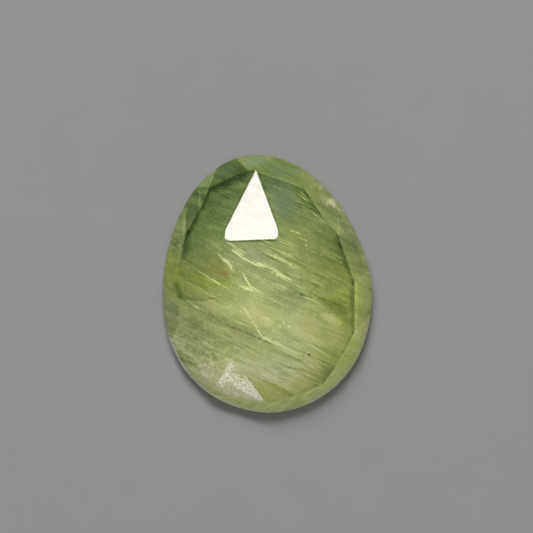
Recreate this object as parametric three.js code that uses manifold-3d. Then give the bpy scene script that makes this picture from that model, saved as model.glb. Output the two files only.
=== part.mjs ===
// A rose cut kyanite: one solid stone, flat underneath, with a thin upright
// girdle and a low crown of flat ground facets. Millimetres, +Z up, the base on
// z = 0 and the narrow end of the egg towards +Y.

import * as THREE from 'three';
import { ConvexGeometry } from 'three/addons/geometries/ConvexGeometry.js';
import { mergeVertices } from 'three/addons/utils/BufferGeometryUtils.js';
import Module from 'manifold-3d';

// Driving dimensions of the whole stone
const LENGTH = 18.0;
const WIDTH = 14.6;
const DEPTH = 4.6;
const GIRDLE = 0.75; // height of the upright edge, before the rim facets cut into it
const BASE_BEVEL = 0.15; // eased edge between the girdle and the flat base

// The crown swells like a low dome: its height falls with this power of the
// share of the way from the middle to the outline.
const DOME_POWER = 2.6;

// Rim facets are ground steeper than the rest, and are drawn past the outline
// by this factor so that the girdle cuts them off in arcs.
const RIM_SLOPE = THREE.MathUtils.degToRad(47);
const STEEP_RIM_SLOPE = THREE.MathUtils.degToRad(62);
const RIM_OVERRUN = 1.12;

// The egg outline touches the stone's length and width at four places. Its arc
// leaves each place along the bounding box, and "before" and "after" say how
// full the two arcs that meet there are, as shares of the way to their far end.
const OUTLINE_SEGMENTS = 22;
const RIGHT_SIDE = { x: WIDTH / 2, y: -0.7, before: 0.76, after: 0.31 };
const NARROW_END = { x: -0.75, y: LENGTH / 2, before: 0.64, after: 0.62 };
const LEFT_SIDE = { x: -WIDTH / 2, y: -0.6, before: 0.47, after: 0.84 };
const BROAD_END = { x: 0.1, y: -LENGTH / 2, before: 0.28, after: 0.37 };

// Corners of the crown's facets as x, y and, where a corner was ground a little
// above or below the dome, that difference.
const PEAK = [-0.7, -0.45];

const STAR_CORNERS = [
  [-3.28, 2.98],
  [0.95, 3.14],
  [2.75, -1.1],
  [2.15, -4.75],
  [-0.3, -3.7],
  [-1.8, -1.45],
];

// One more corner low on the left, above the patch where a cleavage shows
const LEFT_SHOULDER = [-2.45, -5.1];

// Where the main facets meet the rim facets, clockwise from the narrow end
const BREAK_CORNERS = [
  [-1.4, 7.95, -0.1],
  [-0.8, 7.91],
  [2.5, 6.7],
  [3.85, 4.65],
  [4.9, 3.45, 0.06],
  [5.3, 2.3],
  [6.05, 0.1],
  [6.05, -3.35],
  [5.3, -4.75],
  [4.7, -5.8],
  [3.9, -6.95],
  [2.1, -7.75],
  [-0.05, -8.35, 0.12],
  [-3.9, -7.65, 0.2],
  [-5.75, -5.85, 0.1],
  [-6.75, -3.9, 0.1],
  [-5.95, -2.35, -0.15],
  [-6.45, -0.75, 0.1],
  [-6.0, 2.0],
  [-5.65, 3.6],
  [-4.6, 5.35],
  [-4.05, 6.7],
];

// Directions in which the edges between rim facets run off the stone, in
// degrees counter-clockwise from +X. The girdle stands higher at the steep ones.
const RIM_EDGES = [12, 49, 59, 82, 107, 130, 162, 176, 258, 278, 291, 308, 325, 353];
const STEEP_RIM_EDGES = [203, 221, 240];

// A small natural nick in the rim on the upper right
const NICK = { x: 4.42, y: 5.65, z: 1.29 };
const NICK_SIZE = { length: 1.1, width: 0.6, depth: 0.34 };
const NICK_TURN = THREE.MathUtils.degToRad(-48);

const wasm = await Module();
wasm.setup();

function toSolid(geometry) {
  const bare = geometry.clone();
  bare.deleteAttribute('normal');
  bare.deleteAttribute('uv');
  const merged = mergeVertices(bare);
  const vertProperties = new Float32Array(merged.attributes.position.array);
  const triVerts = new Uint32Array(merged.index.array);
  return new wasm.Manifold(new wasm.Mesh({ numProp: 3, vertProperties, triVerts }));
}

function toGeometry(solid) {
  const mesh = solid.getMesh();
  const geometry = new THREE.BufferGeometry();
  geometry.setAttribute('position', new THREE.BufferAttribute(mesh.vertProperties, 3));
  geometry.setIndex(new THREE.BufferAttribute(mesh.triVerts, 1));
  geometry.computeVertexNormals();
  return geometry;
}

// A quarter of the egg, from a place on the left or right side to an end
function sideToEnd(shape, side, end) {
  const straightY = side.y + side.after * (end.y - side.y);
  const straightX = end.x - end.before * (end.x - side.x);
  shape.bezierCurveTo(side.x, straightY, straightX, end.y, end.x, end.y);
}

// A quarter of the egg, from an end to a place on the left or right side
function endToSide(shape, end, side) {
  const straightX = end.x + end.after * (side.x - end.x);
  const straightY = side.y - side.before * (side.y - end.y);
  shape.bezierCurveTo(straightX, end.y, side.x, straightY, side.x, side.y);
}

function eggOutline() {
  const shape = new THREE.Shape();
  shape.moveTo(RIGHT_SIDE.x, RIGHT_SIDE.y);
  sideToEnd(shape, RIGHT_SIDE, NARROW_END);
  endToSide(shape, NARROW_END, LEFT_SIDE);
  sideToEnd(shape, LEFT_SIDE, BROAD_END);
  endToSide(shape, BROAD_END, RIGHT_SIDE);
  return shape;
}

// How far the outline lies from the middle in one direction
function outlineReach(points, angle) {
  const ray = new THREE.Vector2(Math.cos(angle), Math.sin(angle));
  for (let i = 0; i < points.length; i += 1) {
    const start = points[i];
    const end = points[(i + 1) % points.length];
    const before = ray.cross(start);
    const after = ray.cross(end);
    if (before <= 0 && after > 0 && ray.dot(start) > 0) {
      const share = before / (before - after);
      return start.clone().lerp(end, share).dot(ray);
    }
  }
  throw new Error('the outline does not go all the way round');
}

function cornerOnDome(points, [x, y, lift = 0]) {
  const share = Math.hypot(x, y) / outlineReach(points, Math.atan2(y, x));
  const height = GIRDLE + (DEPTH - GIRDLE) * (1 - share ** DOME_POWER);
  return new THREE.Vector3(x, y, height + lift);
}

function cornerPastRim(points, degrees, slope) {
  const angle = THREE.MathUtils.degToRad(degrees);
  const reach = outlineReach(points, angle);
  const radius = reach * RIM_OVERRUN;
  const fall = (radius - reach) * Math.tan(slope);
  return new THREE.Vector3(radius * Math.cos(angle), radius * Math.sin(angle), GIRDLE - fall);
}

// The crown's facets are the flat faces that its corners span
function crown(points) {
  const inner = [...STAR_CORNERS, LEFT_SHOULDER, ...BREAK_CORNERS];
  const corners = [
    new THREE.Vector3(PEAK[0], PEAK[1], DEPTH),
    ...inner.map((corner) => cornerOnDome(points, corner)),
    ...RIM_EDGES.map((degrees) => cornerPastRim(points, degrees, RIM_SLOPE)),
    ...STEEP_RIM_EDGES.map((degrees) => cornerPastRim(points, degrees, STEEP_RIM_SLOPE)),
  ];
  return toSolid(new ConvexGeometry(corners));
}

// The upright girdle, as tall as the stone, with its lower edge eased
function girdle(outline) {
  const geometry = new THREE.ExtrudeGeometry(outline, {
    depth: DEPTH,
    curveSegments: OUTLINE_SEGMENTS,
    bevelThickness: BASE_BEVEL,
    bevelSize: BASE_BEVEL,
    bevelOffset: -BASE_BEVEL,
    bevelSegments: 1,
  });
  geometry.translate(0, 0, BASE_BEVEL);
  return toSolid(geometry);
}

function nick() {
  const geometry = new THREE.IcosahedronGeometry(0.5, 1);
  geometry.scale(NICK_SIZE.length, NICK_SIZE.width, NICK_SIZE.depth);
  geometry.rotateX(RIM_SLOPE);
  geometry.rotateZ(NICK_TURN);
  geometry.translate(NICK.x, NICK.y, NICK.z);
  return toSolid(geometry);
}

function stone() {
  const outline = eggOutline();
  const points = outline.getPoints(OUTLINE_SEGMENTS).slice(0, -1);
  const solid = girdle(outline).intersect(crown(points)).subtract(nick());
  const material = new THREE.MeshStandardMaterial({
    color: 0x8d9d5e,
    roughness: 0.15,
    metalness: 0,
    flatShading: true,
  });
  const mesh = new THREE.Mesh(toGeometry(solid), material);
  mesh.name = 'rose_cut_stone';
  return mesh;
}

const kyanite = new THREE.Group();
kyanite.add(stone());

export default kyanite;
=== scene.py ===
import math

import bmesh
import bpy
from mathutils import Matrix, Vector


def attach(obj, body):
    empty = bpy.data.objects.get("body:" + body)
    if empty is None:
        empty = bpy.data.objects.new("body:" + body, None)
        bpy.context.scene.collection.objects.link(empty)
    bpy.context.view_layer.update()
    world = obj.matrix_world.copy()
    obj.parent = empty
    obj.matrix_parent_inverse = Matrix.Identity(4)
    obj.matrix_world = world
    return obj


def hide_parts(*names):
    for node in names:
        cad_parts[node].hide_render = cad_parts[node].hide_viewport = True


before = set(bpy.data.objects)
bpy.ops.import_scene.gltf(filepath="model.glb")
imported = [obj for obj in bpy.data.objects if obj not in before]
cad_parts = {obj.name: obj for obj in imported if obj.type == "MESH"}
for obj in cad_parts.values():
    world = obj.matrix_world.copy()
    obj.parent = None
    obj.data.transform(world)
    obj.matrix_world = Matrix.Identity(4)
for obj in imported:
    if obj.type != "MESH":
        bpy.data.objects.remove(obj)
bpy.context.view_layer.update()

MM = 0.001  # one millimetre, in the frame's metres

# The camera looks straight down on the stone as it lies on its flat base, from
# far enough off that the crown isn't drawn larger than the girdle.
VIEW_WIDTH = 37.33 * MM
VIEW_MIDDLE = (-0.06 * MM, 1.22 * MM)
LENS = 250.0
SENSOR = 36.0

lens = bpy.data.cameras.new("camera")
lens.lens = LENS
lens.sensor_width = SENSOR
lens.clip_start = 10 * MM
lens.dof.use_dof = False
camera = bpy.data.objects.new("camera", lens)
camera.location = (*VIEW_MIDDLE, VIEW_WIDTH * LENS / SENSOR)
bpy.context.scene.collection.objects.link(camera)
bpy.context.scene.camera = camera

# The table is a wide sheet of matt grey card. It lies a hair below the stone's
# base, as a sheet does that the stone doesn't press on.
CARD_REACH = 1.5
CARD_GAP = 0.02 * MM
CARD_GREY = (0.308, 0.315, 0.324)
CARD_MOTTLE = 0.015
CARD_TOOTH = 900.0
CARD_ROUGHNESS = 0.9
CARD_IOR = 1.3


class Wire:
    """The output of a shader node, with the sums that Python can write for it."""

    def __init__(self, paint, socket):
        self.paint = paint
        self.socket = socket

    def sum(self, operation, *values):
        return self.paint.node("ShaderNodeMath", {"operation": operation}, dict(enumerate(values)))

    def __add__(self, other):
        return self.sum("ADD", self, other)

    def __radd__(self, other):
        return self.sum("ADD", other, self)

    def __sub__(self, other):
        return self.sum("SUBTRACT", self, other)

    def __rsub__(self, other):
        return self.sum("SUBTRACT", other, self)

    def __mul__(self, other):
        return self.sum("MULTIPLY", self, other)

    def root(self):
        return self.sum("SQRT", self)

    def at_most(self, other):
        return self.sum("MINIMUM", self, other)

    def at_least(self, other):
        return self.sum("MAXIMUM", self, other)

    def rise(self, low, high, top=1.0):
        """0 below low, top above high, a smooth step between them. It falls where low is above high."""
        return self.paint.node(
            "ShaderNodeMapRange",
            {"interpolation_type": "SMOOTHSTEP", "clamp": False},
            {"Value": self, "From Min": low, "From Max": high, "To Max": top},
        )


class Paint:
    """A material, and the ways its nodes are added."""

    def __init__(self, name):
        self.material = bpy.data.materials.new(name)
        self.material.use_nodes = True
        self.tree = self.material.node_tree
        self.tree.nodes.clear()
        self.output = self.tree.nodes.new("ShaderNodeOutputMaterial")

    def node(self, kind, settings, inputs, out=0):
        made = self.tree.nodes.new(kind)
        for name, value in settings.items():
            if name == "stops":
                ramp = made.color_ramp
                while len(ramp.elements) < len(value):
                    ramp.elements.new(1.0)
                for stop, (place, colour) in zip(ramp.elements, value):
                    stop.position = place
                    stop.color = (*colour, 1.0)
            else:
                setattr(made, name, value)
        for key, value in inputs.items():
            if isinstance(value, Wire):
                self.tree.links.new(value.socket, made.inputs[key])
            else:
                made.inputs[key].default_value = value
        return Wire(self, made.outputs[out])

    def vector(self, operation, *values, **inputs):
        sockets = {**dict(enumerate(values)), **inputs}
        return self.node("ShaderNodeVectorMath", {"operation": operation}, sockets)

    def number(self, operation, *values):
        """Vector Math that gives a number, such as a length."""
        settings = {"operation": operation}
        return self.node("ShaderNodeVectorMath", settings, dict(enumerate(values)), out="Value")

    def finish(self, surface, volume=None):
        self.tree.links.new(surface.socket, self.output.inputs["Surface"])
        if volume is not None:
            self.tree.links.new(volume.socket, self.output.inputs["Volume"])
        return self.material

    def blend(self, share, start, end):
        """A colour that goes from start to end as share goes from 0 to 1."""
        return self.node(
            "ShaderNodeMix",
            {"data_type": "RGBA"},
            {0: share, 6: four(start), 7: four(end)},
            out=2,
        )


def four(colour):
    return colour if isinstance(colour, Wire) else (*colour, 1.0)


def tone(red, green, blue):
    """A colour as a screen shows it, from 0 to 255, as the linear values that a shader takes."""
    shares = (red / 255, green / 255, blue / 255)
    return tuple(s / 12.92 if s <= 0.04045 else ((s + 0.055) / 1.055) ** 2.4 for s in shares)


def card_paint():
    paint = Paint("grey_card")
    tooth = paint.node("ShaderNodeTexNoise", {}, {"Scale": CARD_TOOTH, "Detail": 2.0})
    darker = tuple(level * (1 - CARD_MOTTLE) for level in CARD_GREY)
    lighter = tuple(level * (1 + CARD_MOTTLE) for level in CARD_GREY)
    return paint.finish(paint.node("ShaderNodeBsdfPrincipled", {}, {
        "Base Color": paint.blend(tooth, darker, lighter), "Roughness": CARD_ROUGHNESS, "IOR": CARD_IOR,
    }))


def flat_sheet(name, reach, height):
    mesh = bpy.data.meshes.new(name)
    corners = [(x * reach, y * reach, height) for x, y in ((-1, -1), (1, -1), (1, 1), (-1, 1))]
    mesh.from_pydata(corners, [], [(0, 1, 2, 3)])
    sheet = bpy.data.objects.new(name, mesh)
    bpy.context.scene.collection.objects.link(sheet)
    return sheet


card = flat_sheet("grey_card", CARD_REACH, -CARD_GAP)
card.data.materials.append(card_paint())

# Two softboxes stand beyond the narrow end of the egg. The stone's top main facet
# mirrors the lower one up to the camera. The higher one casts the shadow and is
# kept out of the polish, as is a wide white card that fills in from the near
# side. A pale ceiling over dark walls gives the rest.
LAMP_TURN = math.radians(107)
LAMP_DISTANCE = 0.9
MIRRORED_RISE = math.radians(39.5)
MIRRORED_SIZE = (0.44, 0.24)
MIRRORED_POWER = 4.0
MIRRORED_TINT = (1.0, 0.91, 0.96)
HIGH_TURN = math.radians(90)
HIGH_RISE = math.radians(49)
HIGH_SIZE = (0.36, 0.24)
HIGH_POWER = 3.45
HIGH_TINT = (1.0, 0.99, 0.91)
FILL_TURN = math.radians(282)
FILL_RISE = math.radians(13)
FILL_SIZE = (1.4, 0.36)
FILL_POWER = 1.35
FILL_TINT = (0.97, 0.98, 0.98)
CEILING_GREY = 0.4
WALL_GREY = 0.14
WALL_TOP = (0.55, 0.8)


def softbox(name, turn, rise, size, power, tint):
    lamp = bpy.data.lights.new(name, "AREA")
    lamp.shape = "RECTANGLE"
    lamp.size, lamp.size_y = size
    lamp.energy = power
    lamp.color = tint
    box = bpy.data.objects.new(name, lamp)
    level = math.cos(rise)
    towards = Vector((level * math.cos(turn), level * math.sin(turn), math.sin(rise)))
    box.location = towards * LAMP_DISTANCE
    box.rotation_euler = towards.to_track_quat("Z", "Y").to_euler()
    box.visible_camera = False
    bpy.context.scene.collection.objects.link(box)
    return box


softbox("mirrored_softbox", LAMP_TURN, MIRRORED_RISE, MIRRORED_SIZE, MIRRORED_POWER, MIRRORED_TINT)
softbox("high_softbox", HIGH_TURN, HIGH_RISE, HIGH_SIZE, HIGH_POWER, HIGH_TINT).visible_glossy = False
softbox("fill_card", FILL_TURN, FILL_RISE, FILL_SIZE, FILL_POWER, FILL_TINT).visible_glossy = False

room = bpy.data.worlds.new("room")
room.use_nodes = True
nodes = room.node_tree.nodes
links = room.node_tree.links
direction = nodes.new("ShaderNodeTexCoord")
upward = nodes.new("ShaderNodeSeparateXYZ")
walls = nodes.new("ShaderNodeMapRange")
walls.interpolation_type = "SMOOTHSTEP"
walls.inputs["From Min"].default_value = WALL_TOP[0]
walls.inputs["From Max"].default_value = WALL_TOP[1]
walls.inputs["To Min"].default_value = WALL_GREY
walls.inputs["To Max"].default_value = CEILING_GREY
links.new(direction.outputs["Generated"], upward.inputs[0])
links.new(upward.outputs["Z"], walls.inputs["Value"])
links.new(walls.outputs["Result"], nodes["Background"].inputs["Strength"])
nodes["Background"].inputs["Color"].default_value = (1.0, 1.0, 1.0, 1.0)
bpy.context.scene.world = room
bpy.context.scene.view_settings.view_transform = "Standard"

# The stone is one piece of kyanite, ground flat facet by facet on a lap and then
# polished, which rounds every edge between two facets a little. Small flats take
# the two lower corners off the top main facet: two ends of each flat's edge.
EDGE_ROUNDING = 0.07  # lengths without MM are in millimetres from here on
RIM_BREAK = math.cos(math.radians(41.5))
GIRDLE_TOP = 0.45
SAME_PLANE = math.radians(0.5)
SHARP_EDGE = math.radians(3.5)
WELD = 0.004
TOP_FACET = (-0.84, 4.4)
TIP_FLATS = [
    (-2.9, 3.8, -2.94, 3.2),
    (-2.94, 3.2, -2.6, 2.98),
    (0.4, 3.05, 0.72, 3.3),
    (0.72, 3.3, 0.7, 3.9),
]
TIP_LEAN = math.radians(12)


def grind_tips(work):
    """Takes the corners off the top main facet, each with a flat that leans a little further out."""
    top = min(work.faces, key=lambda f: math.dist(f.calc_center_median().xy, TOP_FACET))
    up = top.normal.copy()
    corner = top.verts[0].co.copy()

    def on_facet(x, y):
        return Vector((x, y, corner.z - ((x - corner.x) * up.x + (y - corner.y) * up.y) / up.z))

    for x1, y1, x2, y2 in TIP_FLATS:
        start = on_facet(x1, y1)
        end = on_facet(x2, y2)
        outward = (end - start).cross(up).normalized()
        if outward.dot(start - Vector((*TOP_FACET, start.z))) < 0:
            outward.negate()
        plane = up * math.cos(TIP_LEAN) + outward * math.sin(TIP_LEAN)
        everything = work.verts[:] + work.edges[:] + work.faces[:]
        cut = bmesh.ops.bisect_plane(
            work, geom=everything, plane_co=start, plane_no=plane, clear_outer=True,
        )
        rim = [e for e in cut["geom_cut"] if isinstance(e, bmesh.types.BMEdge)]
        bmesh.ops.contextual_create(work, geom=rim)
    work.normal_update()


def tone_edges(strips, edge_tone):
    """Marks the outer half of each rounded rim edge 1, and the inner half beside a main facet -1."""
    for strip in strips:
        beside = {face for edge in strip.edges for face in edge.link_faces if face in strips}
        if strip.calc_center_median().z < GIRDLE_TOP:
            continue
        if strip.normal.z < RIM_BREAK:
            strip[edge_tone] = 1.0
        elif any(face.normal.z < RIM_BREAK for face in beside):
            strip[edge_tone] = -1.0


def cut_stone_shape(node):
    work = bmesh.new()
    work.from_mesh(node.data)
    bmesh.ops.scale(work, vec=(1 / MM,) * 3, verts=work.verts)
    bmesh.ops.remove_doubles(work, verts=work.verts, dist=WELD)
    bmesh.ops.dissolve_limit(work, angle_limit=SAME_PLANE, verts=work.verts, edges=work.edges)
    grind_tips(work)
    edge_tone = work.faces.layers.float.new("edge_tone")
    ground = [e for e in work.edges if e.is_manifold and e.calc_face_angle() > SHARP_EDGE]
    rounded = bmesh.ops.bevel(
        work, geom=ground, offset=EDGE_ROUNDING, offset_type="OFFSET",
        segments=2, profile=0.5, affect="EDGES", clamp_overlap=True,
    )
    tone_edges(set(rounded["faces"]), edge_tone)
    for face in work.faces:
        face.smooth = True
    bmesh.ops.scale(work, vec=(MM,) * 3, verts=work.verts)
    mesh = bpy.data.meshes.new("cut_stone")
    work.to_mesh(mesh)
    work.free()
    return mesh


cut_stone = bpy.data.objects.new("cut_stone", cut_stone_shape(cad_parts["rose_cut_stone"]))
bpy.context.scene.collection.objects.link(cut_stone)
even = cut_stone.modifiers.new("even_facets", "WEIGHTED_NORMAL")
even.mode = "FACE_AREA"
even.weight = 100

# Everything in the stone is placed in millimetres, as it is seen from above. A
# facet bends the view sideways, by about this share of the depth of what is seen
# for each unit that the facet leans.
BENDING = 0.48
GIRDLE_LEVEL = (0.5, 0.2)

stone = Paint("kyanite")
place = stone.vector("SCALE", stone.node("ShaderNodeTexCoord", {}, {}, out="Object"), Scale=1 / MM)
facing = stone.node("ShaderNodeNewGeometry", {}, {}, out="True Normal")
tilt = stone.vector("MULTIPLY", facing, (1, 1, 0))
from_above = stone.vector("MULTIPLY", place, (1, 1, 0))
height = stone.node("ShaderNodeSeparateXYZ", {}, {0: place}, out="Z")
level = stone.node("ShaderNodeSeparateXYZ", {}, {0: facing}, out="Z")
edge_on = stone.node("ShaderNodeCombineXYZ", {}, {"Z": height * level.rise(*GIRDLE_LEVEL)})


def layer(depth):
    """The places that a layer shows through the facets, at a depth below them."""
    shift = stone.vector("SCALE", tilt, Scale=depth * BENDING)
    return stone.vector("ADD", stone.vector("SUBTRACT", from_above, shift), edge_on)


def noise(where, per_mm, detail, roughness=0.5, out=0):
    """Clouds of values round 0.5, so many to a millimetre."""
    inputs = {"Vector": where, "Scale": per_mm, "Detail": detail, "Roughness": roughness}
    return stone.node("ShaderNodeTexNoise", {}, inputs, out=out)


def wavy(where, size, reach):
    """The same places, pushed about by up to a reach over a size."""
    push = noise(where, 1 / size, 1.0, out="Color")
    push = stone.vector("MULTIPLY", stone.vector("SUBTRACT", push, (0.5, 0.5, 0.5)), (1, 1, 0))
    return stone.vector("ADD", where, stone.vector("SCALE", push, Scale=2 * reach))


# A patch or a streak has faded out at this many times its half size. Inside, it
# is full up to the share that is its edge, and below 0 it is full nowhere.
FADED = 1.3
SOFT_EDGE = -0.1


def patch(where, x, y, long, wide, turn, edge, top=1.0):
    """A turned ellipse: the top value in its middle, and 0 outside it."""
    local = stone.node("ShaderNodeMapping", {"vector_type": "TEXTURE"}, {
        "Vector": where, "Location": (x, y, 0), "Rotation": (0, 0, math.radians(turn)),
        "Scale": (long, wide, 1),
    })
    return stone.number("LENGTH", local).rise(FADED, edge, top)


# Marks lie just below the polish, at a level in the middle of the stone, or on its
# base. Soft, fine and torn marks are pushed about: over what size and how far.
NEAR_DEPTH = 0.6
MIDDLE_LEVEL = 1.6
NEAR_WAVES = (2.6, 0.14)
SOFT_WAVES = (1.6, 0.5)
FINE_WAVES = (0.7, 0.06)
TORN_WAVES = (0.35, 0.16)

near = wavy(layer(NEAR_DEPTH), *NEAR_WAVES)
middle = layer((height - MIDDLE_LEVEL).at_least(0))
deep = layer(height)
soft_place = wavy(from_above, *SOFT_WAVES)
fine_place = wavy(from_above, *FINE_WAVES)
torn_place = wavy(from_above, *TORN_WAVES)

# Kyanite grows as a bundle of fibres, which here all run down to the right. Where
# they lie loose it is milky, and between them it is clear and deep green. The
# banks are: middle x and y, half length, half width, turn in degrees, and how
# much cloudier the stone is there, on a scale from 0, clear, to 1, white milk.
FIBRE_TURN = -25
PLAIN_CLOUD = 0.44
CLOUD_BANKS = [
    (-0.35, -1.2, 8.6, 5.6, -60, 0.36),
    (0.0, -7.2, 8.0, 3.6, 0, 0.1),
    (3.6, -3.4, 3.6, 2.6, -25, 0.1),
    (-4.4, 5.2, 6.4, 3.4, 62, -0.24),
    (-4.6, 2.0, 2.8, 2.0, 0, -0.04),
    (4.8, 2.6, 2.4, 1.5, -65, -0.1),
    (-4.2, -6.1, 2.0, 1.2, -48, 0.3),
    (-5.9, -4.0, 1.4, 1.0, -60, 0.22),
    (4.2, -6.1, 1.7, 0.9, 50, -0.26),
    (-1.0, -1.8, 0.8, 0.7, 0, 0.1),
    (0.0, -6.0, 4.6, 1.5, -8, 0.22),
    (-4.3, -4.25, 1.1, 0.6, -10, 0.24),
    (-6.0, -4.1, 0.8, 0.9, -70, 0.2),
    (4.9, -3.1, 0.9, 0.9, 0, 0.05),
    (0.0, -2.4, 0.6, 0.5, 0, 0.14),
    (-1.5, -3.3, 0.7, 0.5, 0, -0.12),
    (-2.8, -5.2, 0.8, 0.5, -40, 0.2),
    (-3.3, -3.35, 1.3, 0.5, -25, 0.18),
    (0.5, 6.9, 1.1, 0.6, -20, -0.12),
    (1.6, -1.2, 1.8, 1.1, -25, -0.16),
    (2.7, -3.2, 1.5, 1.0, -25, 0.14),
    (-2.8, -1.6, 2.2, 0.7, -10, 0.14),
]

# Their ends fray along the fibres: how far, and the bundles that do it. Fibres are
# given here and below by length, width, where they start in the noise and, for
# some, detail.
FRINGE = 1.6
FRINGE_BUNDLES = (3.0, 0.25, 3.0)


def fibres(where, long, wide, start, detail=2.0, turn=FIBRE_TURN):
    """Noise drawn out along the fibres."""
    drawn = stone.node("ShaderNodeMapping", {"vector_type": "TEXTURE"}, {
        "Vector": where, "Location": (0, 0, start), "Rotation": (0, 0, math.radians(turn)),
        "Scale": (long, wide, wide * 2),
    })
    return noise(drawn, 1.0, detail)


# Light that crosses the stone comes out again at the side turned from the lamp
# and at the steep facets all round, so these are painted paler, as a painted glow:
# by how much, and which way that side is.
STEEP_GLOW = 0.5
FAR_SIDE = (math.cos(LAMP_TURN + math.pi), math.sin(LAMP_TURN + math.pi), 0)
FAR_GLOW = 0.36
MOST_GLOW = 0.55

along = (math.cos(math.radians(FIBRE_TURN)), math.sin(math.radians(FIBRE_TURN)), 0)
fringe = stone.vector("SCALE", along, Scale=(fibres(middle, *FRINGE_BUNDLES) - 0.5) * 2 * FRINGE)
ragged = stone.vector("ADD", soft_place, fringe)
turned_away = stone.number("DOT_PRODUCT", facing, FAR_SIDE)
glow = (turned_away * FAR_GLOW + (1 - level) * STEEP_GLOW).at_most(MOST_GLOW)
cloud = glow + PLAIN_CLOUD
for x, y, long, wide, turn, amount in CLOUD_BANKS:
    cloud = cloud + patch(ragged, x, y, long, wide, turn, SOFT_EDGE, amount)

# How strongly the fibres show differs from place to place, and from one bundle to
# the next: middle x and y, half length, half width, turn, and strength.
PLAIN_FIBRES = 0.34
FIBRE_ZONES = [
    (2.2, -6.2, 5.0, 2.2, -20, 1.0),
    (0.6, 1.4, 3.4, 2.0, -25, 0.65),
    (2.6, 5.6, 2.2, 1.6, -50, 0.5),
    (4.8, -0.9, 2.6, 2.4, -25, 0.1),
    (-2.2, -2.9, 3.4, 1.2, -25, 0.2),
    (-4.4, 4.6, 3.4, 2.4, 60, -0.3),
    (-4.6, -4.8, 2.6, 2.0, -30, 0.25),
    (-1.0, -1.6, 4.0, 2.0, -25, 0.15),
]
STRONG_BUNDLES = (2.6, 1.1, 41.0)
STRONG_FROM = (0.3, 0.6)
STRONGEST = 1.5

strength = PLAIN_FIBRES
for x, y, long, wide, turn, amount in FIBRE_ZONES:
    strength = strength + patch(from_above, x, y, long, wide, turn, SOFT_EDGE, amount)
strength = strength * fibres(middle, *STRONG_BUNDLES).rise(*STRONG_FROM, STRONGEST)

# The milk is uneven at every size, from bundles and billows deep in the stone to
# single pale and clear threads below the polish. Low on the left it has curdled:
# a patch's middle, half length, half width, turn, edge and share.
DEEP_BUNDLES = (5.0, 0.7, 7.0)
DEEP_SHARE = 0.22
BILLOWS = (1.3, 3.0)
BILLOW_SHARE = 0.3
CURDS = (3.6, 3.0)
CURD_SHARE = 0.16
CURDLED = (-4.6, -4.8, 3.4, 2.6, -50, 0.0, 0.8)
BROAD_FIBRES = (3.0, 0.2, 5.0)
BROAD_SHARE = 0.5
FINE_FIBRES = (2.0, 0.05, 11.0, 3.0)
FINE_SHARE = 1.1
PALE_THREADS = (2.2, 0.055, 17.0)
PALE_FROM = (0.58, 0.7)
CLEAR_THREADS = (2.6, 0.055, 23.0)
CLEAR_FROM = (0.42, 0.3)
THREAD_SHARE = 0.35

cloud = cloud + (fibres(deep, *DEEP_BUNDLES) - 0.5) * DEEP_SHARE
cloud = cloud + (noise(middle, *BILLOWS) - 0.5) * BILLOW_SHARE
cloud = cloud + (noise(near, *CURDS) - 0.5) * (patch(from_above, *CURDLED) + CURD_SHARE)
cloud = cloud + (fibres(near, *BROAD_FIBRES) - 0.5) * strength * BROAD_SHARE
cloud = cloud + (fibres(near, *FINE_FIBRES) - 0.5) * strength * FINE_SHARE
cloud = cloud + fibres(near, *PALE_THREADS).rise(*PALE_FROM) * strength * THREAD_SHARE
cloud = cloud - fibres(near, *CLEAR_THREADS).rise(*CLEAR_FROM) * strength * THREAD_SHARE

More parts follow.
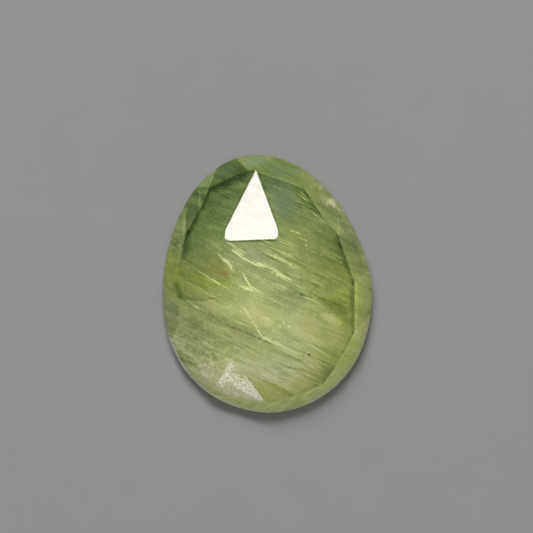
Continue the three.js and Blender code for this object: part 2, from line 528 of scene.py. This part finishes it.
# Single pale fibres and veils, and the clear gaps between them. Each group runs
# one way and is so many times as long as wide: middle x and y, half width, and
# how much cloudier or clearer the stone is there.
STREAK_GROUPS = [
    (-25, 12, [
        (-0.6, 1.45, 0.07, 0.5),
        (0.75, 0.9, 0.07, 0.35),
        (2.05, -0.1, 0.055, 0.3),
        (1.95, 3.6, 0.06, 0.5),
        (2.5, 3.1, 0.05, 0.5),
        (3.4, 2.15, 0.045, 0.45),
        (0.6, 1.8, 0.06, 0.4),
        (0.0, 2.1, 0.04, 0.2),
        (-1.35, -0.3, 0.05, 0.4),
        (2.4, -4.8, 0.05, 0.25),
        (2.8, -0.95, 0.05, 0.35),
        (3.9, -1.65, 0.05, 0.3),
        (0.2, -6.5, 0.06, 0.35),
        (0.9, -7.05, 0.1, 0.25),
        (1.6, -7.15, 0.06, 0.3),
        (4.2, -2.5, 0.05, 0.2),
        (0.65, 6.7, 0.04, 0.35),
        (-3.9, -1.1, 0.05, 0.2),
        (3.3, -1.2, 0.08, 0.15),
        (4.9, 0.4, 0.06, 0.15),
        (5.1, -0.5, 0.05, 0.15),
        (2.5, -0.75, 0.06, -0.35),
        (0.5, 1.7, 0.09, -0.2),
        (1.15, 0.75, 0.05, -0.35),
        (-0.95, 1.75, 0.06, -0.2),
        (4.5, -1.25, 0.12, -0.15),
        (5.2, -1.6, 0.1, -0.12),
        (3.4, -0.85, 0.07, -0.2),
        (-3.9, -2.2, 0.09, -0.25),
        (-1.0, -3.55, 0.1, -0.35),
        (0.6, 6.55, 0.06, -0.25),
        (2.35, 5.3, 0.05, -0.25),
        (0.4, -7.0, 0.12, -0.2),
        (-4.75, -5.0, 0.1, -0.15),
        (2.4, -6.4, 0.12, -0.15),
        (3.4, -6.0, 0.08, -0.15),
    ]),
    (-25, 5, [
        (0.8, 0.6, 0.17, 0.4),
        (0.8, -4.15, 0.16, 0.45),
        (1.7, -4.55, 0.14, 0.5),
        (-4.95, -1.6, 0.1, 0.35),
        (1.45, 2.05, 0.1, 0.25),
        (1.8, 1.25, 0.1, 0.25),
        (1.6, -7.7, 0.2, -0.3),
        (-2.35, -2.95, 0.13, -0.3),
        (0.0, -4.05, 0.08, -0.35),
        (2.3, -0.65, 0.09, -0.3),
    ]),
    (-34, 12, [
        (-2.0, 2.25, 0.07, 0.45),
        (-3.7, 0.25, 0.08, 0.35),
        (-4.55, -0.35, 0.07, 0.25),
        (-3.4, -1.0, 0.06, 0.25),
        (-1.5, -0.1, 0.05, 0.35),
        (-0.95, -0.25, 0.06, 0.5),
        (2.5, 5.95, 0.04, 0.5),
        (2.5, 6.3, 0.04, 0.5),
        (2.65, 6.25, 0.07, -0.55),
        (2.15, 6.1, 0.045, -0.45),
        (2.3, 5.85, 0.05, -0.3),
        (2.75, 5.7, 0.065, -0.5),
        (2.2, 5.6, 0.04, -0.4),
        (3.1, 5.2, 0.06, -0.45),
        (3.2, 4.75, 0.05, -0.4),
        (-5.4, -1.4, 0.09, -0.3),
    ]),
    (-34, 4, [
        (0.0, -3.8, 0.13, 0.45),
        (-2.85, 1.6, 0.14, 0.3),
        (3.25, 4.8, 0.07, 0.35),
    ]),
    (-58, 10, [
        (-3.2, 1.9, 0.06, 0.3),
        (-2.5, 1.25, 0.05, 0.4),
        (-1.4, 0.25, 0.06, 0.4),
        # These two lie on a facet edge, and their paleness is partly a painted highlight on it.
        (-1.4, -2.0, 0.07, 0.25),
        (-0.7, -3.05, 0.07, 0.5),
    ]),
]


def squeezed(where, turn, aspect):
    """The same places, squeezed along one direction until a long streak is round."""
    return stone.node(
        "ShaderNodeMapping", {"vector_type": "TEXTURE"},
        {"Vector": where, "Rotation": (0, 0, math.radians(turn)), "Scale": (aspect, 1, 1)},
    )


def streak(round_place, turn, aspect, x, y, wide, amount):
    cosine = math.cos(math.radians(turn))
    sine = math.sin(math.radians(turn))
    middle = ((x * cosine + y * sine) / aspect, y * cosine - x * sine, 0)
    return stone.number("DISTANCE", round_place, middle).rise(wide * FADED, 0.0, amount)


# Each streak is broken here and there, and uneven along its fibres.
BREAKS = (5.0, 2.0)
STREAK_BREAKS = (0.32, 0.55)
STREAK_FIBRES = (0.4, 0.05, 29.0, 3.0)

broken = noise(from_above, *BREAKS)
marks = 0.0
for turn, aspect, streaks in STREAK_GROUPS:
    round_place = squeezed(fine_place, turn, aspect)
    for x, y, wide, amount in streaks:
        marks = marks + streak(round_place, turn, aspect, x, y, wide, amount)
marks = marks * (fibres(from_above, *STREAK_FIBRES) + 0.5) * broken.rise(*STREAK_BREAKS)

# The longest pale streaks are cracks. They are bent lines with frayed sides: their
# points, half width, and how much cloudier the stone is there.
CRACKS = [
    ([(-2.7, 2.85), (-1.5, 2.15)], 0.055, 0.5),
    ([(-2.4, 2.3), (-1.3, 1.6), (-0.3, 1.2)], 0.09, 0.6),
    ([(-0.5, 1.4), (0.6, 0.85), (1.6, 0.3)], 0.06, 0.4),
    ([(-3.6, 2.2), (-3.1, 1.85)], 0.06, 0.2),
    ([(-3.2, 1.95), (-2.75, 1.5), (-2.45, 1.0)], 0.09, 0.24),
    ([(-1.7, 0.75), (-1.3, 0.0), (-1.05, -0.4)], 0.055, 0.35),
    ([(-1.9, -0.1), (-1.3, -0.35)], 0.1, 0.2),
    ([(-1.6, -0.3), (-0.95, -0.5)], 0.07, 0.3),
    ([(-4.75, 0.85), (-3.75, 0.3), (-2.6, -0.35)], 0.055, 0.3),
    ([(-5.6, 0.15), (-4.6, -0.45), (-3.6, -0.9)], 0.055, 0.18),
    # These four stretches run along a facet edge, and their paleness is partly a crack and partly a
    # painted highlight on that edge.
    ([(-1.5, -1.9), (-0.95, -2.75)], 0.03, 0.2),
    ([(-0.9, -2.8), (-0.35, -3.65)], 0.045, 0.4),
    ([(-0.35, -3.65), (0.9, -4.2)], 0.05, 0.4),
    ([(0.6, -4.1), (2.0, -4.75)], 0.09, 0.5),
    ([(-0.3, -6.15), (0.8, -6.7)], 0.07, 0.22),
    ([(-0.35, -6.55), (2.1, -7.45)], 0.05, 0.22),
    ([(3.75, 6.3), (4.15, 5.5)], 0.05, 0.25),
    ([(3.55, 6.5), (3.85, 5.9)], 0.06, -0.25),
    ([(-6.3, -0.95), (-4.4, -1.12), (-3.0, -0.85)], 0.07, -0.09),
]
CRACK_EDGE = 0.2
CRACK_FIBRES = (0.7, 0.06, 43.0, 4.0)
FRAYED_FROM = (0.3, 0.6)
LEAST_FRAYED = 0.35
CRACK_BREAKS = (0.2, 0.45)
RUN_ON = 0.08


def stretch(where, x1, y1, x2, y2, width, edge, amount):
    """A thin ellipse over two points and a little past both, where the way over both is short."""
    x1, x2 = x1 - (x2 - x1) * RUN_ON, x2 + (x2 - x1) * RUN_ON
    y1, y2 = y1 - (y2 - y1) * RUN_ON, y2 + (y2 - y1) * RUN_ON
    apart = math.hypot(x2 - x1, y2 - y1)
    way_round = math.hypot(apart, 2 * width) - apart
    way = stone.number("DISTANCE", where, (x1, y1, 0)) + stone.number("DISTANCE", where, (x2, y2, 0))
    return ((way - apart) * (1 / way_round)).root().rise(FADED, edge, amount)


def bent_lines(where, lines, edge):
    """Lines through their points, each as one stretch after another."""
    drawn = 0.0
    for points, width, amount in lines:
        for start, end in zip(points, points[1:]):
            drawn = drawn + stretch(where, *start, *end, width, edge, amount)
    return drawn


frayed = fibres(fine_place, *CRACK_FIBRES).rise(*FRAYED_FROM) + LEAST_FRAYED
marks = marks + bent_lines(fine_place, CRACKS, CRACK_EDGE) * frayed * broken.rise(*CRACK_BREAKS)
cloud = cloud + marks

# The rim facets are steep and show the stone's side, where the milk lies in bundles
# of its own, and the far side is painted with more glow.
RIM_LEVEL = (0.76, 0.74)
RIM_CLOUD = 0.46
RIM_SHARE = 0.8
RIM_BUNDLES = (2.0, 0.6, 31.0)
RIM_BUNDLE_SHARE = 0.8
RIM_FIBRES = (1.2, 0.1, 37.0)
RIM_FIBRE_SHARE = 0.25
FAR_FROM = (0.2, 0.7)
FAR_RIM_GLOW = 0.3

rim = level.rise(*RIM_LEVEL)
rim_cloud = (fibres(near, *RIM_BUNDLES) - 0.5) * RIM_BUNDLE_SHARE
rim_cloud = rim_cloud + (fibres(near, *RIM_FIBRES) - 0.5) * RIM_FIBRE_SHARE + RIM_CLOUD
far_rim = turned_away.rise(*FAR_FROM) * rim
rim_cloud = rim_cloud + glow + far_rim * FAR_RIM_GLOW
cloud = cloud + (rim_cloud - cloud) * rim * RIM_SHARE

# Each facet is painted lighter or darker, as the light and shade that it shows from
# inside the stone: slope and direction in degrees, and how much lighter or darker it
# is. A fine grain lies over all of them.
FACET_LIGHT_AND_SHADE = [
    (43.0, 117, -0.16),
    (51.8, 130, 0.03),
    (51.9, 91, 0.01),
    (45.5, 105, 0.06),
    (47.8, 142, -0.17),
    (49.6, 152, -0.23),
    (52.7, 156, -0.02),
    (49.0, 163, -0.12),
    (49.3, 171, -0.1),
    (37.5, 206, 0.03),
    (62.5, 225, 0.06),
    (54.5, 187, -0.02),
    (43.4, 193, 0.0),
    (61.7, 207, 0.1),
    (43.1, 72, 0.0),
    (50.9, 57, -0.04),
    (48.7, 35, -0.06),
    (50.3, 22, -0.18),
    (53.5, 26, -0.04),
    (48.4, 16, -0.05),
    (50.6, 8, 0.0),
    (47.0, 354, 0.08),
    (47.6, 336, 0.12),
    (47.0, 314, 0.28),
    (48.4, 325, 0.08),
    (49.5, 306, 0.24),
    (45.9, 298, 0.2),
    (46.0, 283, 0.16),
    (45.2, 253, 0.15),
    (51.9, 348, 0.16),
    (52.1, 267, 0.08),
    (30.8, 73, 0.06),
    (39.0, 223, 0.1),
    (34.3, 173, 0.03),
    (29.9, 191, 0.04),
    (19.3, 229, -0.03),
    (36.9, 299, -0.03),
]
FACET_APART = (0.06, 0.03)
GRAIN = (9.0, 2.0, 0.7)
GRAIN_SHARE = 0.5


def facet(slope, turn, amount):
    """One value on the facet that faces one way, and 0 elsewhere."""
    slope = math.radians(slope)
    turn = math.radians(turn)
    direction = (math.sin(slope) * math.cos(turn), math.sin(slope) * math.sin(turn), math.cos(slope))
    return stone.number("DISTANCE", facing, direction).rise(*FACET_APART, amount)


for slope, turn, amount in FACET_LIGHT_AND_SHADE:
    cloud = cloud + facet(slope, turn, amount)
cloud = cloud + (noise(from_above, *GRAIN) - 0.5) * GRAIN_SHARE

# The outer half of each rounded rim edge is painted a little pale, as a painted
# highlight, and the inner half dark, as painted shade.
EDGE_BREAKS = (0.25, 0.6)
EDGE_PALE = 0.2

edge_tone = stone.node("ShaderNodeAttribute", {"attribute_name": "edge_tone"}, {}, out="Fac")
cloud = cloud + edge_tone * broken.rise(*EDGE_BREAKS, EDGE_PALE)

# Just inside the rim the main facets are painted darker, as painted shade from the
# stone's dark side that they look down on. Further in lie single soft bands of milk
# and of clear stone: two ends of each shade and band, half width, and how much
# lighter or darker it is.
RIM_SHADES = [
    (-4.2, 6.3, -5.5, 3.5, 0.34, -0.3),
    (-5.6, 3.6, -5.8, 1.9, 0.46, -0.3),
    (-4.1, 6.6, -1.2, 7.8, 0.55, -0.36),
    (-0.65, 7.7, 2.45, 6.65, 0.6, -0.28),
    (2.6, 6.5, 3.85, 4.65, 0.26, -0.26),
    (4.9, 3.3, 5.3, 1.5, 0.5, -0.28),
    (5.4, 1.8, 6.0, -0.05, 0.28, -0.25),
    (5.95, 0.1, 5.95, -3.35, 0.28, -0.28),
    (6.0, -3.35, 5.3, -4.75, 0.28, -0.2),
    (4.7, -5.8, 3.9, -6.95, 0.34, -0.2),
    (3.9, -6.95, 2.1, -7.75, 0.28, -0.16),
]
SOFT_BANDS = [
    (3.6, -1.1, 5.4, -2.0, 0.5, -0.27),
    (3.8, -2.15, 5.0, -2.7, 0.45, 0.25),
    (5.5, -2.2, 5.5, -3.4, 0.3, -0.1),
    (5.0, 2.8, 5.6, 1.8, 0.35, -0.14),
    (3.9, 4.4, 4.8, 3.5, 0.3, -0.1),
    (-0.7, 6.85, 0.6, 6.5, 0.45, -0.12),
    (1.2, -5.9, 2.4, -6.4, 0.4, 0.12),
    (-1.7, 1.75, -0.2, 1.0, 0.3, 0.12),
    (-4.3, -4.15, -3.2, -4.5, 0.5, 0.15),
    (-2.0, -5.6, 0.7, -6.5, 0.5, 0.12),
    (-0.4, -2.3, 0.4, -2.6, 0.4, 0.12),
    (-0.4, 0.5, 0.5, 0.1, 0.35, -0.1),
    (-5.5, -6.6, -4.9, -7.2, 0.3, 0.12),
    (1.3, -0.4, 2.3, -0.9, 0.35, -0.12),
]
SHADE_EDGE = -0.3

shade = 0.0
for x1, y1, x2, y2, width, amount in RIM_SHADES + SOFT_BANDS:
    shade = shade + stretch(fine_place, x1, y1, x2, y2, width, SHADE_EDGE, amount)
cloud = cloud + shade * (1 - rim)

# The ground edges are painted as thin pale lines where they would catch the light,
# a painted highlight, and as dark ones where they look into the dark, painted shade,
# and parts of the rim as wider ones: two ends, half width, and how much lighter or
# darker the line is.
EDGE_LINES = [
    (-0.65, 7.8, 2.45, 6.72, 0.045, 0.3),
    (4.95, 4.6, 4.9, 3.5, 0.06, 0.12),
    (6.2, 0.25, 6.2, -3.3, 0.16, 0.1),
    (4.1, -7.1, 1.6, -7.95, 0.2, 0.12),
    (-4.73, 6.55, -4.69, 5.3, 0.13, 0.16),
    (-5.65, 5.4, -5.85, 3.4, 0.12, 0.16),
    (-6.0, 2.9, -6.4, 0.3, 0.12, 0.12),
    (-6.4, 0.0, -6.0, -0.9, 0.25, -0.2),
    (-6.2, -0.85, -4.4, -1.1, 0.16, -0.14),
    (-5.8, 0.95, -5.75, -0.45, 0.05, -0.15),
    (4.05, -7.0, 2.2, -7.75, 0.06, 0.3),
    (5.3, -5.0, 4.1, -6.9, 0.06, 0.25),
    (-4.9, 6.53, -4.1, 6.74, 0.04, -0.2),
    (5.6, 2.9, 6.1, 2.0, 0.45, -0.05),
    (5.2, 4.3, 5.5, 3.7, 0.25, -0.14),
    (-6.75, 1.6, -6.75, 0.1, 0.5, 0.14),
    (-0.55, 7.75, 1.0, 3.2, 0.05, -0.2),
    (-2.55, 2.95, 0.6, 3.01, 0.09, -0.32),
    (6.0, 3.0, 6.6, 1.2, 0.2, -0.12),
    (-1.05, 7.75, -3.2, 3.2, 0.05, -0.12),
]
LINE_EDGE = 0.3

for x1, y1, x2, y2, width, amount in EDGE_LINES:
    cloud = cloud + stretch(fine_place, x1, y1, x2, y2, width, LINE_EDGE, amount)

# Low on the left one facet has split along the cleavage instead of taking a
# polish. The split is rough and white, torn on its left and sharp along the
# facet's right edge: middle x and y, half length, half width, turn, and share.
# The nick in the rim is rough as well.
SPLIT_FACET = (38.2, 251)
SPLIT_GROUND = (-2.1, -7.0, 2.0, 1.2, -35, 0.4, 0.3)
SPLIT_BEDS = [
    (-2.8, -6.05, 0.9, 0.42, 62, 1.0),
    (-1.75, -7.0, 1.9, 0.4, -35, 1.0),
    (-3.35, -6.9, 0.35, 0.16, -25, 0.7),
    (-0.9, -7.15, 1.3, 0.2, -53, 0.9),
    (-2.6, -7.4, 1.2, 0.5, -25, 0.15),
]
SPLIT_EDGE = 0.5
CRUMBS = (0.22, 0.09, 61.0, 4.0)
CRUMBS_FROM = (0.28, 0.58)
FLAKES = (0.18, 0.07, 67.0, 3.0)
SPLIT_WHITE = tone(232, 248, 186)
FLAKE_GLINT = tone(252, 255, 212)
GLINTING_FLAKES = (0.44, 0.54)
NICK_BEDS = [
    (4.45, 5.72, 0.36, 0.27, 10, 1.0),
    (4.65, 5.5, 0.26, 0.16, -40, 0.7),
    (4.95, 5.2, 0.3, 0.1, -50, 0.4),
    (3.75, 6.75, 0.12, 0.3, 10, 0.35),
]
NICK_EDGE = 0.3
NICK_FROM = (0.3, 0.5)
NICK_WHITE = tone(214, 218, 162)

crumbs = fibres(torn_place, *CRUMBS)
flakes = fibres(torn_place, *FLAKES)
split = patch(torn_place, *SPLIT_GROUND)
for x, y, long, wide, turn, share in SPLIT_BEDS:
    split = split + patch(torn_place, x, y, long, wide, turn, SPLIT_EDGE, share)
split = facet(*SPLIT_FACET, 1.0) * split.at_most(1.0) * crumbs.rise(*CRUMBS_FROM)
nick = 0.0
for x, y, long, wide, turn, share in NICK_BEDS:
    nick = nick + patch(torn_place, x, y, long, wide, turn, NICK_EDGE, share)
nick = nick.at_most(1.0) * crumbs.rise(*NICK_FROM)

# The top main facet mirrors the softbox, and is the most even: its slope and
# direction, and the cloudiness that it comes closer to.
TOP_FACET_LEANS = (25.6, 107)
TOP_CLOUD = 0.3
TOP_EVENED = 0.4

cloud = cloud + (TOP_CLOUD - cloud) * facet(*TOP_FACET_LEANS, TOP_EVENED)

# Each of these is the stone's colour at a cloudiness: greyish where it is milky,
# and yellower in the zones that hold a little iron. The zones are: middle x and
# y, half length, half width, turn, and how yellow.
WHITEST = 1.3
CLOUD_COLOURS = [
    (0.0, tone(60, 84, 22)),
    (0.3 / WHITEST, tone(107, 128, 68)),
    (0.6 / WHITEST, tone(151, 164, 104)),
    (0.85 / WHITEST, tone(188, 200, 136)),
    (1.05 / WHITEST, tone(214, 222, 160)),
    (1.0, tone(240, 251, 203)),
]
IRON_COLOURS = [
    (0.0, tone(60, 82, 14)),
    (0.3 / WHITEST, tone(108, 127, 44)),
    (0.6 / WHITEST, tone(150, 164, 68)),
    (0.85 / WHITEST, tone(190, 202, 98)),
    (1.05 / WHITEST, tone(214, 223, 124)),
    (1.0, tone(240, 251, 176)),
]
IRON_ZONES = [
    (-4.3, 0.25, 3.0, 1.6, -8, 0.7),
    (-6.7, 1.0, 0.9, 1.8, 0, 0.8),
    (5.4, -1.0, 4.6, 2.6, -80, 0.75),
    (4.0, -5.5, 3.4, 2.0, 40, 0.5),
    (2.6, 2.6, 2.6, 2.2, -25, 0.15),
    (-0.6, -2.5, 1.6, 1.2, -25, 0.25),
    (0.6, -7.6, 6.0, 1.6, 0, 0.6),
    (3.0, 6.6, 2.4, 1.0, -40, 0.3),
]
RIM_IRON = 0.1

iron = rim * RIM_IRON
for x, y, long, wide, turn, amount in IRON_ZONES:
    iron = iron + patch(soft_place, x, y, long, wide, turn, SOFT_EDGE, amount)
colour = stone.blend(
    iron.at_most(1.0).at_least(0.0),
    stone.node("ShaderNodeValToRGB", {"stops": CLOUD_COLOURS}, {0: cloud * (1 / WHITEST)}),
    stone.node("ShaderNodeValToRGB", {"stops": IRON_COLOURS}, {0: cloud * (1 / WHITEST)}),
)

# Light that leaves at the far rim has crossed the whole stone, so the far rim is
# painted greener, as that light, with pale veins that run across the fibres, drawn
# out the way the veins turn.
FAR_TINT = (0.88, 1.0, 0.58)
VEINS = (1.0, 0.2, 83.0, 3.0)
VEIN_TURN = 30
VEINS_FROM = (0.5, 0.66)
VEIN_SHARE = 0.7
VEIN_PALE = tone(186, 208, 118)

colour = stone.node(
    "ShaderNodeMix", {"data_type": "RGBA", "blend_type": "MULTIPLY"},
    {0: far_rim, 6: colour, 7: four(FAR_TINT)},
    out=2,
)
veins = fibres(near, *VEINS, turn=VEIN_TURN).rise(*VEINS_FROM, VEIN_SHARE)
colour = stone.blend(far_rim * veins, colour, VEIN_PALE)

# A thin glint is painted along the outline at the lower left and on the far side,
# above the girdle, as a painted highlight: the points of each line, half width and
# share.
OUTLINE_GLINTS = [
    ([(-6.86, -3.7), (-6.2, -5.22), (-5.2, -6.72)], 0.1, 0.85),
    ([
        (-5.2, -6.72), (-4.42, -7.32), (-3.65, -7.83), (-2.26, -8.48), (-0.77, -8.85), (0.5, -8.9),
    ], 0.07, 0.65),
    ([(5.38, -6.4), (4.3, -7.43), (3.68, -7.86), (2.98, -8.23)], 0.07, 0.6),
]
GLINT_EDGE = 0.2
GLINT_LEVEL = (0.12, 0.3)
GLINT_PALE = tone(236, 244, 196)

glint = bent_lines(from_above, OUTLINE_GLINTS, GLINT_EDGE).at_most(1.0)
colour = stone.blend(glint * level.rise(*GLINT_LEVEL), colour, GLINT_PALE)

# Iron also stains it brown in one place and gives some of the milk a tan or
# yellow tinge, and the facets at the narrow end look bluish: middle x and y, half
# length, half width, turn, share and colour. The pale streaks lie over these.
TINGES = [
    (1.0, 5.9, 2.2, 1.3, -65, 0.62, tone(108, 127, 102)),
    (-1.1, 1.9, 1.8, 0.8, -25, 0.45, tone(158, 167, 134)),
    (-0.8, 8.6, 1.0, 0.45, 0, 0.5, tone(140, 160, 132)),
    (1.2, 7.9, 1.4, 0.5, -20, 0.4, tone(120, 140, 108)),
    (-2.9, 8.0, 1.2, 0.5, 25, 0.5, tone(96, 112, 86)),
    (-6.6, -2.0, 0.4, 1.1, 0, 0.35, tone(122, 134, 104)),
    (-4.9, -3.8, 1.8, 1.3, -20, 0.35, tone(146, 156, 108)),
    (-3.3, 1.0, 0.9, 0.65, -25, 0.5, tone(140, 136, 62)),
    (-2.95, 0.8, 0.4, 0.28, -40, 0.55, tone(144, 128, 46)),
    (-3.85, -0.95, 0.5, 0.07, 4, 0.5, tone(140, 112, 62)),
    (-6.05, -2.35, 0.6, 0.22, 75, 0.4, tone(176, 184, 150)),
    (-2.75, 1.55, 0.75, 0.28, -45, 0.25, tone(204, 208, 170)),
    (-4.0, -1.5, 0.7, 0.4, -20, 0.35, tone(176, 168, 118)),
    (-2.1, -3.4, 0.9, 0.45, -20, 0.3, tone(178, 170, 118)),
    (-4.0, -7.0, 0.8, 0.5, -30, 0.4, tone(186, 176, 134)),
    (-2.5, -7.35, 1.3, 0.6, -28, 0.65, tone(218, 216, 154)),
    (-1.1, -8.0, 1.3, 0.35, -20, 0.6, tone(218, 226, 156)),
    (4.7, -6.8, 2.2, 0.6, 50, 0.6, tone(222, 252, 134)),
    (2.7, -3.0, 0.8, 0.8, 0, 0.35, tone(196, 182, 116)),
    (4.2, -3.75, 0.8, 0.3, -10, 0.4, tone(184, 188, 98)),
    (-0.7, -2.3, 1.1, 0.7, -25, 0.55, tone(206, 206, 138)),
    (3.8, 6.5, 0.6, 0.4, -55, 0.5, tone(158, 156, 98)),
    (3.95, 5.7, 0.1, 0.5, 35, 0.5, tone(190, 192, 140)),
]
TINGE_EDGE = 0.0
STREAK_PALE = tone(220, 230, 166)
STREAK_PALE_FROM = (0.03, 0.6)
STREAK_PALE_SHARE = 0.75

for x, y, long, wide, turn, share, shown in TINGES:
    colour = stone.blend(patch(torn_place, x, y, long, wide, turn, TINGE_EDGE, share), colour, shown)
colour = stone.blend(marks.rise(*STREAK_PALE_FROM, STREAK_PALE_SHARE), colour, STREAK_PALE)
colour = stone.blend(split, colour, SPLIT_WHITE)
# The split's flakes are painted whiter, as painted glints of its cleavage steps.
colour = stone.blend(split * flakes.rise(*GLINTING_FLAKES), colour, FLAKE_GLINT)
colour = stone.blend(nick, colour, NICK_WHITE)

# Single grains and tiny bubbles, and three painted glints: middle x and y, radius,
# share and colour.
WHITE_SPOT = tone(232, 236, 190)
DARK_SPOT = tone(74, 56, 34)
SPOTS = [
    (2.9, -4.87, 0.11, 0.9, DARK_SPOT),
    (0.56, 1.88, 0.07, 0.6, WHITE_SPOT),
    (0.86, 1.7, 0.06, 0.5, WHITE_SPOT),
    (0.3, 1.68, 0.05, 0.4, WHITE_SPOT),
    (5.15, 1.55, 0.06, 0.4, WHITE_SPOT),
    # These three pale spots are painted glints.
    (1.1, -2.65, 0.08, 0.7, WHITE_SPOT),
    (1.55, -2.85, 0.11, 0.9, WHITE_SPOT),
    (0.9, -2.85, 0.07, 0.7, WHITE_SPOT),
    (-3.8, -3.9, 0.1, 0.4, WHITE_SPOT),
    (-4.35, -4.05, 0.09, 0.4, WHITE_SPOT),
    (-2.75, -1.6, 0.09, 0.5, WHITE_SPOT),
    (2.7, 2.7, 0.07, 0.5, WHITE_SPOT),
    (2.75, 2.48, 0.06, 0.5, WHITE_SPOT),
    (3.65, 3.7, 0.07, 0.4, WHITE_SPOT),
    (4.25, -1.93, 0.09, 0.65, DARK_SPOT),
    (-6.3, -2.1, 0.12, 0.3, DARK_SPOT),
    (-6.06, 2.66, 0.09, 0.5, WHITE_SPOT),
    (-6.75, 2.45, 0.06, 0.4, WHITE_SPOT),
    (-6.5, 2.75, 0.14, 0.5, DARK_SPOT),
    (-6.25, 2.95, 0.1, 0.5, DARK_SPOT),
    (3.22, 6.83, 0.09, 0.6, DARK_SPOT),
    (3.43, 6.62, 0.1, 0.6, DARK_SPOT),
    (3.64, 6.76, 0.07, 0.5, DARK_SPOT),
    (3.36, 6.34, 0.08, 0.4, DARK_SPOT),
    (3.75, 6.45, 0.07, 0.4, DARK_SPOT),
]
SPOT_OUTSIDE = 1.2
SPOT_CORE = 0.4

for x, y, radius, share, shown in SPOTS:
    away = stone.number("DISTANCE", torn_place, (x, y, 0))
    colour = stone.blend(away.rise(radius * SPOT_OUTSIDE, radius * SPOT_CORE, share), colour, shown)

# Polish leaves the finest fibres standing as a faint grain. The split is a stair
# of tiny cleavage steps, which face up and towards the lamps. Its crumbs are so
# many times as high as the fibres, and its largest flakes shine.
FIBRE_HEIGHT = 0.004 * MM
POLISH_FIBRES = (0.9, 0.05, 51.0, 3.0)
CRUMB_HEIGHT = 5.0
STEPS_FACE = (-0.12, 0.42, 0.9)
POLISH = 0.08
SPLIT_ROUGHNESS = 0.42
MATT_FLAKES = (0.64, 0.44)
MATT_SHARE = 0.7

polished = stone.node("ShaderNodeNewGeometry", {}, {}, out="Normal")
steps = stone.vector("SCALE", stone.vector("SUBTRACT", STEPS_FACE, polished), Scale=split)
relief = fibres(from_above, *POLISH_FIBRES) + split * crumbs * CRUMB_HEIGHT
surface = stone.node("ShaderNodeBump", {}, {
    "Strength": 1.0, "Distance": FIBRE_HEIGHT, "Height": relief,
    "Normal": stone.vector("NORMALIZE", stone.vector("ADD", polished, steps)),
})
matt = flakes.rise(*MATT_FLAKES, MATT_SHARE) + (1 - MATT_SHARE)
roughness = split * (SPLIT_ROUGHNESS - POLISH) * matt + POLISH

# Glassy outside, milky inside: the clear part lets the table show through, and
# the milky part glows with the light that goes into it all round.
KYANITE_IOR = 1.715
MILK_REACH = 5 * MM
MILK_SCATTER = (1.0, 1.0, 0.6)
CLEAR_TINT = (0.95, 1.0, 0.88)
CLEAR_POLISH = 0.05
CLEAR_GREEN = (0.5, 0.75, 0.1)
GREEN_PER_METRE = 500.0
MILKY_FROM = (-0.9, 0.35)

milk = stone.node("ShaderNodeBsdfPrincipled", {}, {
    "Base Color": colour, "Roughness": roughness, "IOR": KYANITE_IOR, "Normal": surface,
    "Subsurface Weight": 1.0, "Subsurface Scale": MILK_REACH, "Subsurface Radius": MILK_SCATTER,
})
clear = stone.node("ShaderNodeBsdfPrincipled", {}, {
    "Base Color": four(CLEAR_TINT), "Roughness": CLEAR_POLISH, "IOR": KYANITE_IOR,
    "Transmission Weight": 1.0, "Normal": surface,
})
milky = (cloud + split).rise(*MILKY_FROM)
body = stone.node("ShaderNodeMixShader", {}, {0: milky, 1: clear, 2: milk})
green = stone.node("ShaderNodeVolumeAbsorption", {}, {
    "Color": four(CLEAR_GREEN), "Density": GREEN_PER_METRE,
})
cut_stone.data.materials.append(stone.finish(body, green))
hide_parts("rose_cut_stone")
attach(cut_stone, "root")
